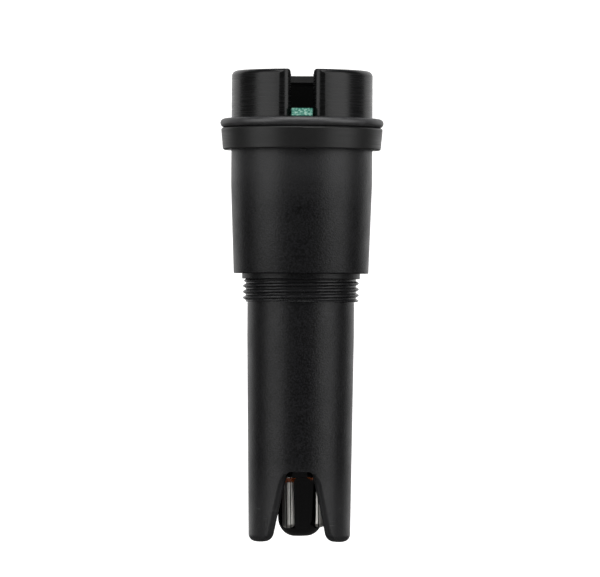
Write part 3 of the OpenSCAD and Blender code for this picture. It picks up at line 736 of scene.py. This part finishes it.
@dataclass
class ProbeSleeve(SubAssembly):
    """The one-piece moulding of barrel, shoulder ring, cap thread, stem and slotted guard."""

    barrel_r: float = 14.1
    barrel_foot_r: float = 13.475
    barrel_bore_r: float = 12.0
    shoulder_r: float = 11.8
    stem_r: float = 10.675
    stem_tip_r: float = 10.15
    stem_bore_r: float = 8.0
    guard_bore_r: float = 7.2
    z_top: float = -4.0
    z_flange_foot: float = -4.4
    z_straight: float = -11.4
    z_barrel_foot: float = -29.05
    z_shoulder_foot: float = -30.15
    z_thread_foot: float = -34.75
    z_stem_straight: float = -41.35
    z_tip: float = -82.6
    z_bore_step: float = -62.0
    z_barrel_floor: float = -27.15
    crest_r: float = 11.59
    root_r: float = 11.03
    pitch: float = 1.18
    crest_flat: float = 0.24
    root_flat: float = 0.22
    crest_phase_z: float = -33.35
    thread_rows: int = 76
    thread_run_in: float = 0.5
    thread_run_out: float = 0.35
    thread_stub: float = 0.3
    seam_half_deg: float = 1.3
    seam_fade_deg: float = 0.3
    seam_height: float = 0.85
    tip_round: float = 1.55
    tip_inner_round: float = 0.5
    guard_arc_steps: int = 12
    edge_round: float = 0.16
    barrel_foot_round: float = 0.208
    shoulder_root_round: float = 0.08
    slot_h: float = 14.2
    slot_top_half: float = 2.55
    slot_mouth_half: float = 5.45
    slot_corner_round: float = 0.7
    slot_flare: float = 2.4
    slot_side_h: Pair = (4.0, 8.0)
    slot_past: float = 2.0
    slot_edge_round: float = 0.9
    edge_h: tuple[float, ...] = (-1.0, 0.02, 0.08, 0.16, 0.26, 0.4, 0.6, 0.85, 1.15, 1.5, 1.8, 2.1,
                                 2.4, 3.5, 5.0, 7.0, 9.0)
    edge_h_below_top: tuple[float, ...] = (3.2, 2.4, 1.8, 1.2, 0.75, 0.4)
    edge_arc_steps: int = 10
    edge_past: float = 1.2
    edge_bite: float = 0.004
    edge_run_out: float = 2.6
    edge_least: float = 0.25
    edge_thin: float = 0.42
    gate_x: float = 0.3
    gate_half_w: float = 0.55
    gate_h: float = 0.42
    gate_proud: float = 0.22
    gate_sink: float = 0.35
    gate_soft: float = 0.14
    gate_soft_middle: Pair = (0.3, 0.45)
    gate_gap: float = 0.06
    turn_steps: int = 320

    def thread_r(self, angle: float, z: float) -> float:
        """Radius of the thread's surface.

        Args:
            angle: Angle round the axis from +X, in radians.
            z: Height in millimetres.

        Returns:
            The radius in millimetres: a thread with narrow flat crests and roots, lower at the
            mould's seams.
        """
        turns = (z - self.crest_phase_z) / self.pitch - angle / (2 * math.pi)
        across = abs(turns - round(turns)) * self.pitch
        flank = (self.pitch - self.crest_flat - self.root_flat) / 2
        height = 1 - min(1.0, max(0.0, across - self.crest_flat / 2) / flank)
        off_seam = min(abs(math.remainder(math.degrees(angle) - seam, 360)) for seam in SEAMS_DEG)
        if off_seam < self.seam_half_deg:
            height *= self.seam_height
        return self.root_r + (self.crest_r - self.root_r) * height

    def outline(self) -> list[tuple[float, float, bool]]:
        """Outline of the moulding from its upper inner edge, down the outside and up the bores.

        Returns:
            Radius, height and whether the point is on the thread, in millimetres.
        """
        edge = self.edge_round
        above = rounded_path([
            (self.barrel_bore_r, self.z_top, 0.0), (self.barrel_r, self.z_top, edge),
            (self.barrel_r, self.z_straight, 0.0),
            (self.barrel_foot_r, self.z_barrel_foot, self.barrel_foot_round),
            (self.shoulder_r, self.z_barrel_foot, self.shoulder_root_round),
            (self.shoulder_r, self.z_shoulder_foot, edge),
            (self.root_r, self.z_shoulder_foot, 0.0)])
        length = self.z_thread_foot - self.z_shoulder_foot
        thread = [(self.root_r, self.z_shoulder_foot + length * i / self.thread_rows)
                  for i in range(1, self.thread_rows)]
        below = rounded_path([
            (self.stem_r, self.z_thread_foot, 0.0), (self.stem_r, self.z_stem_straight, 0.0),
            (self.stem_tip_r, self.z_tip, self.tip_round),
            (self.guard_bore_r, self.z_tip, self.tip_inner_round),
            (self.guard_bore_r, self.z_bore_step, 0.0), (self.stem_bore_r, self.z_bore_step, 0.0),
            (self.stem_bore_r, self.z_barrel_floor, 0.0),
            (self.barrel_bore_r, self.z_barrel_floor, 0.0),
            (self.barrel_bore_r, self.z_top, 0.0)], self.guard_arc_steps)
        return ([(r, z, False) for r, z in above] + [(r, z, True) for r, z in thread]
                + [(self.root_r, self.z_thread_foot, False)]
                + [(r, z, False) for r, z in below[:-1]])

    def turned(self) -> Piece:
        """Turns the outline round the axis, with the thread's own radius where it has turns.

        Returns:
            The moulding before its guard is slotted.
        """
        outline = self.outline()
        beside = [side * (self.seam_half_deg + fade)
                  for side in (-1, 1) for fade in (0.0, self.seam_fade_deg)]
        even = {2 * math.pi * i / self.turn_steps for i in range(self.turn_steps)}
        extra = {math.radians(seam + off) for seam in SEAMS_DEG for off in beside}
        angles = sorted({round(angle, 6) for angle in even | extra})
        points = []
        for angle in angles:
            for r, z, threaded in outline:
                if threaded:
                    start = (self.z_shoulder_foot - z) / self.thread_run_in
                    end = (z - self.z_thread_foot) / self.thread_run_out + self.thread_stub
                    full = self.thread_r(angle, z) - self.root_r
                    r = self.root_r + full * min(1.0, start, end)
                points.append((r * math.cos(angle), r * math.sin(angle), z))
        rows, count = len(outline), len(angles)
        faces = [[c * rows + k, ((c + 1) % count) * rows + k,
                  ((c + 1) % count) * rows + (k + 1) % rows, c * rows + (k + 1) % rows]
                 for c in range(count) for k in range(rows)]
        return mesh_object("probe_sleeve_moulding", points, faces)

    def slot_half(self, h: float) -> float:
        """Gives the half width of a slot.

        Args:
            h: Height above the tip in millimetres.

        Returns:
            The half width in millimetres, with the flare at the mouth.
        """
        taper = math.atan((self.slot_mouth_half - self.slot_top_half) / self.slot_h)
        flare_top = self.slot_flare * (1 - math.sin(taper))
        if h >= flare_top:
            return self.slot_mouth_half - h * math.tan(taper)
        edge = self.slot_mouth_half + flare_top / math.cos(taper)
        return edge - math.sqrt(self.slot_flare ** 2 - (self.slot_flare - max(h, 0.0)) ** 2)

    def outer_r(self, h: float) -> float:
        """Gives the outer radius of the guard.

        Args:
            h: Height above the tip in millimetres.

        Returns:
            The radius in millimetres, with the rounding at the tip.
        """
        slope = (self.stem_r - self.stem_tip_r) / (self.z_stem_straight - self.z_tip)
        rounding = max(0.0, self.tip_round - max(h, 0.0))
        inset = self.tip_round - math.sqrt(self.tip_round ** 2 - rounding ** 2)
        return self.stem_tip_r + slope * h - inset

    def slot_cutter(self) -> Piece:
        """Solid that opens the slots in front and behind.

        Returns:
            A prism through both walls, with tapered sides, rounded top corners and a flared mouth.
        """
        heights = [-self.slot_past]
        heights += [self.slot_flare * (1 - math.cos(math.radians(a))) for a in FLARE_ARC_DEG]
        heights += self.slot_side_h
        right = [(self.slot_half(h), h) for h in heights]
        top_half = self.slot_half(self.slot_h)
        corner = top_half - self.slot_corner_round
        for a in CORNER_ARC_DEG:
            c, s = math.cos(math.radians(a)), math.sin(math.radians(a))
            right.append((corner + self.slot_corner_round * c,
                          self.slot_h - self.slot_corner_round * (1 - s)))
        loop = right + [(-x, h) for x, h in reversed(right)]
        reach = 2 * self.stem_r
        return lofted("slot_cutter", [[(x, y, self.z_tip + h) for x, h in loop]
                                      for y in (-reach, reach)])

    def edge_cutter(self, side: int, face: int) -> Piece:
        """Solid that rolls a fillet along one slot edge.

        Args:
            side: 1 for the edge towards +X, -1 for -X.
            face: 1 for the slot in front, -1 for the one behind.

        Returns:
            A loft of the corners outside arcs that touch the slot's side and the stem's outside.
        """
        past, steps = self.edge_past, self.edge_arc_steps
        rings = []
        for h in (*self.edge_h, *(self.slot_h - below for below in self.edge_h_below_top)):
            w, r = self.slot_half(h) + self.edge_bite, self.outer_r(max(h, 0.0)) - self.edge_bite
            run_out = min(1.0, self.edge_least + (self.slot_h - h) / self.edge_run_out)
            f = min(self.slot_edge_round * run_out, self.edge_thin * (r - w))
            cx = w + f
            cy = -math.sqrt((r - f) ** 2 - cx ** 2)
            end = math.atan2(-cy, cx)
            ring = [(w - past, -r - past), (w - past, cy)]
            for i in range(steps + 1):
                a = math.pi + i * (math.pi - end) / steps
                ring.append((cx + f * math.cos(a), cy + f * math.sin(a)))
            ring.append((cx + (f + past) * math.cos(end), cy - (f + past) * math.sin(end)))
            rings.append([(side * x, face * y, self.z_tip + h) for x, y in ring])
        return lofted("edge_cutter", rings)

    def build(self) -> Piece:
        """Builds the moulding and puts it in the place of its plain solid.

        Returns:
            The finished piece.
        """
        piece = self.turned()
        carve(piece, [self.slot_cutter()])
        carve(piece, [self.edge_cutter(side, face) for side in (1, -1) for face in (1, -1)])
        shade_smooth(piece, MOULDED_CREASE_DEG)
        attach(piece, "root")
        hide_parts("probe_sleeve")
        LOG.info("probe_sleeve: %d vertices", len(piece.data.vertices))
        return piece

    def gate_mark(self) -> Piece:
        """Builds the small stub that the mould's gate left under the flange, in front.

        Returns:
            The stub, a low rounded block that stands out of the barrel's side.
        """
        half_h = self.gate_h / 2
        z_mid = self.z_flange_foot - self.gate_gap - half_h
        y_wall = -math.sqrt(self.barrel_r ** 2 - self.gate_x ** 2)
        proud, soft, middle = self.gate_proud, self.gate_soft, self.gate_soft_middle
        rings = []
        for depth, inset in ((-self.gate_sink, 0.0), (proud - soft, 0.0),
                             (proud - soft * middle[0], soft * middle[1]), (proud, soft)):
            rings.append([(self.gate_x + sx * (self.gate_half_w - inset), y_wall - depth,
                           z_mid + sz * (half_h - inset))
                          for sx, sz in ((-1, -1), (1, -1), (1, 1), (-1, 1))])
        stub = lofted("gate_mark", rings)
        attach(stub, "root")
        LOG.info("gate_mark")
        return stub

    def dress_made(self, moulding: Piece, stub: Piece) -> None:
        """Gives the moulding its finish, and the stub the same material."""
        wear(moulding, SLEEVE_PLASTIC)
        stub.data.materials.append(moulding.data.materials[0])


@dataclass
class Plug(SubAssembly):
    """The plug housing and the rubber seal on its flange, as packed."""

    finishes: ClassVar[Finishes] = (
        ("plug_housing", PLUG_PLASTIC), ("plug_seal", SEAL_RUBBER))


@dataclass
class Board(SubAssembly):
    """The circuit board with its connector, chip parts and solder, as packed."""

    finishes: ClassVar[Finishes] = (
        ("circuit_board", LAMINATE), ("socket_header", HEADER_NYLON_PAINTED_SHADE),
        ("socket_contacts", GOLD_PLATE), ("memory_chip", CHIP_EPOXY),
        ("memory_chip_leads", TIN), ("chip_capacitors", TAN_CERAMIC),
        ("chip_resistors", BLACK_CERAMIC), ("contact_solder", SOLDER), ("wire_solder", SOLDER))


@dataclass
class SensorCore(SubAssembly):
    """The core with its pins, their resin and wires, and the thermistor inside."""

    finishes: ClassVar[Finishes] = (
        ("core_seal", SEAL_RUBBER), ("electrode_pin_left", PIN_STEEL_LEFT),
        ("electrode_pin_right", PIN_STEEL_RIGHT), ("pin_resin_left", AMBER),
        ("pin_resin_right", AMBER), ("electrode_wire_left", WireJacket.RED.finish()),
        ("electrode_wire_right", WireJacket.WHITE.finish()), ("pin_solder", SOLDER),
        ("thermistor", BEAD_EPOXY), ("thermistor_leads", TIN),
        ("thermistor_wires", WireJacket.YELLOW.finish()), ("core_filling", HEAT_PASTE),
        ("potting_plug", CAST_RESIN))

    rod_r: float = 4.75
    rod_flat: float = 3.8
    rod_h: float = 11.9
    cut_past: float = 1.0
    cut_gap: float = 0.02
    z_bulkhead: float = -69.6
    tongue_from_deg: float = 17.5
    tongue_to_deg: float = 40.0
    tongue_drop: float = 1.0
    tongue_proud: float = 0.6
    tongue_sink: float = 0.12
    tongue_bite: float = 0.05
    tongue_thin: float = 0.12
    tongue_steps: int = 12

    def build(self, frame: dict) -> Piece:
        """Cuts the flat between the pins off the front of the rod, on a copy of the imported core.


        Returns:
            The core with its flat, in the place of the plain one.
        """
        piece = copied("sensor_core_casting", frame["nodes"]["sensor_core"])
        past = self.rod_r + self.cut_past
        section = ((-past, -past), (past, -past), (past, -self.rod_flat), (-past, -self.rod_flat))
        ends = (self.z_bulkhead - self.rod_h - self.cut_past, self.z_bulkhead - self.cut_gap)
        carve(piece, [lofted("flat_cutter", [[(x, y, z) for x, y in section] for z in ends])])
        shade_smooth(piece, MOULDED_CREASE_DEG)
        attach(piece, "root")
        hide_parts("sensor_core")
        wear(piece, CORE_EPOXY)
        return piece

    def resin_tongue(self) -> Piece:
        """Builds the resin that crept from the right pin's root along the rod, under the bulkhead.

        Returns:
            A wedge on the rod's front that thins out towards the middle.
        """
        z_top = self.z_bulkhead + self.tongue_bite
        length = self.tongue_to_deg - self.tongue_from_deg
        rings = []
        for i in range(self.tongue_steps + 1):
            share = i / self.tongue_steps
            a = math.radians(self.tongue_from_deg + length * share)
            swell = (1 - self.tongue_thin) * math.sin(math.radians(90 * share))
            size = self.tongue_thin + swell
            x = self.rod_r * math.sin(a)
            y_in = self.tongue_sink - min(self.rod_flat, self.rod_r * math.cos(a))
            r_out = self.rod_r + self.tongue_proud * size
            rings.append([(x, y_in, z_top), (r_out * math.sin(a), -r_out * math.cos(a), z_top),
                          (x, y_in, self.z_bulkhead - self.tongue_drop * size)])
        tongue = lofted("resin_tongue", rings)
        shade_smooth(tongue, TONGUE_CREASE_DEG)
        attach(tongue, "root")
        wear(tongue, AMBER)
        return tongue


# ------------------------------ studio


@dataclass
class PhotoCamera:
    """The camera of the photograph: level, a metre away, in front of the key slot."""

    distance_mm: float = 1000.0
    focal_px: float = 5000.0
    height_mm: float = -32.06
    aside_mm: float = -0.18
    roll_deg: float = -0.37
    sensor_mm: float = 36.0

    def build(self) -> None:
        """Makes the camera and hands it to the scene."""
        data = bpy.data.cameras.new("camera")
        data.sensor_width = self.sensor_mm
        data.lens = self.focal_px * self.sensor_mm / PHOTO_WIDTH_PX
        camera = bpy.data.objects.new("camera", data)
        camera.location = Vector((self.aside_mm, -self.distance_mm, self.height_mm)) * MM
        camera.rotation_euler = (math.radians(90), math.radians(self.roll_deg), 0.0)
        bpy.context.scene.collection.objects.link(camera)
        bpy.context.scene.camera = camera
        LOG.info("camera: lens %.0f mm", data.lens)


@dataclass(frozen=True)
class Softbox:
    """A square of even light that faces the probe."""

    name: str
    azimuth_deg: float
    elevation_deg: float
    distance_m: float
    width_m: float
    height_m: float
    watts: float

    def build(self, aim: Vector) -> None:
        """Hangs the softbox so that it faces the aim.

        Args:
            aim: The point it faces, in metres. Azimuth 0 is in front, 90 to the right.
        """
        a, e = math.radians(self.azimuth_deg), math.radians(self.elevation_deg)
        away = Vector((math.sin(a) * math.cos(e), -math.cos(a) * math.cos(e), math.sin(e)))
        data = bpy.data.lights.new(self.name, "AREA")
        data.shape = "RECTANGLE"
        data.size, data.size_y, data.energy = self.width_m, self.height_m, self.watts
        lamp = bpy.data.objects.new(self.name, data)
        lamp.location = aim + away * self.distance_m
        lamp.rotation_mode = "QUATERNION"
        lamp.rotation_quaternion = away.to_track_quat("Z", "Y")
        lamp.visible_camera = False
        bpy.context.scene.collection.objects.link(lamp)
        LOG.info("%s", self.name)


class Ray(Enum):
    """Kinds of ray that paper can be lit up for, by their outputs of the Light Path node."""

    CAMERA = "Is Camera Ray"
    TRANSMISSION = "Is Transmission Ray"
    GLOSSY = "Is Glossy Ray"


@dataclass
class Studio:
    """A pale floor and backdrop, a tall softbox at each side of the camera and one above."""

    floor_mm: float = -250.0
    cove_mm: float = 400.0
    aim_mm: float = -35.0
    back_m: float = 1.5
    front_m: float = 0.3
    half_width_m: float = 2.3
    wall_m: float = 1.7
    fill: float = 0.14
    paper: str = "#e6e6e4"
    # Painted shade: the paper's colour for glossy rays, darker so its reflection in the probe is
    # dimmer
    paper_painted_dark_in_reflections: str = "#565655"
    paper_roughness: float = 0.9
    glow: float = 0.95
    softboxes: tuple[Softbox, ...] = (
        Softbox("softbox_left", azimuth_deg=-58.0, elevation_deg=14.0, distance_m=0.75,
                width_m=0.58, height_m=0.78, watts=3.2),
        Softbox("softbox_right", azimuth_deg=60.0, elevation_deg=14.0, distance_m=0.75,
                width_m=0.58, height_m=0.78, watts=3.4),
        Softbox("softbox_top", azimuth_deg=0.0, elevation_deg=66.0, distance_m=0.9,
                width_m=0.9, height_m=0.9, watts=8.4))

    def paper_material(self, name: str, seen_by: Sequence[Ray]) -> bpy.types.Material:
        """Makes matt white paper that is lit up evenly for some kinds of ray only.

        Args:
            name: The material's name.
            seen_by: The kinds of ray that see it lit up.

        Returns:
            The material. Glossy rays meet the paper painted darker, which is painted shade that
            dims its
        reflection in the probe; all other rays meet plain paper, so the floor keeps its shadow.
        """
        paper = bpy.data.materials.new(name)
        paper.use_nodes = True
        skin = Skin(paper.node_tree, paper.node_tree.nodes["Principled BSDF"])
        skin.shader.inputs["Roughness"].default_value = self.paper_roughness
        path = skin.add("ShaderNodeLightPath").outputs
        # Painted shade: glossy rays meet the paper darker
        sheet = skin.add("ShaderNodeMix", {"data_type": "RGBA"},
                         {MIX_UNDER: linear(self.paper), MIX_OVER: linear(self.paper_painted_dark_in_reflections)},
                         {MIX_SHARE: path[Ray.GLOSSY.value]})
        skin.drive("Base Color", sheet.outputs[MIX_COLOUR])
        share = path[seen_by[0].value]
        for ray in seen_by[1:]:
            share = skin.add("ShaderNodeMath", {"operation": "MAXIMUM"},
                             links={0: share, 1: path[ray.value]}).outputs[0]
        scale = skin.add("ShaderNodeMath", {"operation": "MULTIPLY"}, {1: self.glow}, {0: share})
        light = skin.add("ShaderNodeEmission", values={"Color": WHITE},
                         links={"Strength": scale.outputs[0]})
        both = skin.add("ShaderNodeAddShader",
                        links={0: skin.shader.outputs[0], 1: light.outputs[0]})
        surface = skin.tree.nodes["Material Output"].inputs["Surface"]
        skin.tree.links.new(both.outputs[0], surface)
        return paper

    def sweep(self) -> None:
        """Builds the paper sweep: floor, cove and back wall in one sheet."""
        floor, radius = self.floor_mm, self.cove_mm
        depth = self.back_m / MM
        path = [(-self.front_m / MM, floor), (depth - radius, floor)]
        path += [(depth - radius + radius * math.sin(math.radians(a)),
                  floor + radius * (1 - math.cos(math.radians(a)))) for a in CORNER_ARC_DEG[1:]]
        path.append((depth, floor + self.wall_m / MM))
        half = self.half_width_m / MM
        points = [(x, y, z) for y, z in path for x in (-half, half)]
        faces = [[2 * i, 2 * i + 1, 2 * i + 3, 2 * i + 2] for i in range(len(path) - 1)]
        sheet = mesh_object("paper_sweep", points, faces)
        shade_smooth(sheet, PAPER_CREASE_DEG)
        for name, seen_by in (("paper_floor_matt_white", (Ray.CAMERA, Ray.TRANSMISSION)),
                              ("paper_wall_matt_white", tuple(Ray))):
            sheet.data.materials.append(self.paper_material(name, seen_by))
        for face in sheet.data.polygons[1:]:
            face.material_index = 1
        LOG.info("paper sweep")

    def world(self) -> None:
        """Sets the world: a low even fill that the camera sees as white."""
        world = bpy.data.worlds.new("studio")
        world.use_nodes = True
        bpy.context.scene.world = world
        skin = Skin(world.node_tree, world.node_tree.nodes["Background"])
        skin.shader.inputs["Color"].default_value = WHITE
        path = skin.add("ShaderNodeLightPath")
        strength = skin.add("ShaderNodeMapRange",
                            values={"From Min": 0.0, "From Max": 1.0,
                                    "To Min": self.fill, "To Max": 1.0},
                            links={"Value": path.outputs[Ray.CAMERA.value]})
        skin.drive("Strength", strength.outputs["Result"])

    def build(self) -> None:
        """Sets up floor, backdrop, world and lamps."""
        self.sweep()
        self.world()
        for box in self.softboxes:
            box.build(Vector((0.0, 0.0, self.aim_mm)) * MM)
        bpy.context.scene.view_settings.view_transform = "Standard"


def main() -> None:
    """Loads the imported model, builds and dresses each sub-assembly, and sets up the studio."""
    logging.basicConfig(level=logging.INFO, format="%(name)s %(message)s")
    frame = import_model()
    PhotoCamera().build()
    sleeve = ProbeSleeve()
    sleeve.dress_made(sleeve.build(), sleeve.gate_mark())
    Plug().dress(frame)
    Board().dress(frame)
    core = SensorCore()
    core.build(frame)
    core.resin_tongue()
    core.dress(frame)
    Studio().build()


if __name__ == "__main__":
    main()
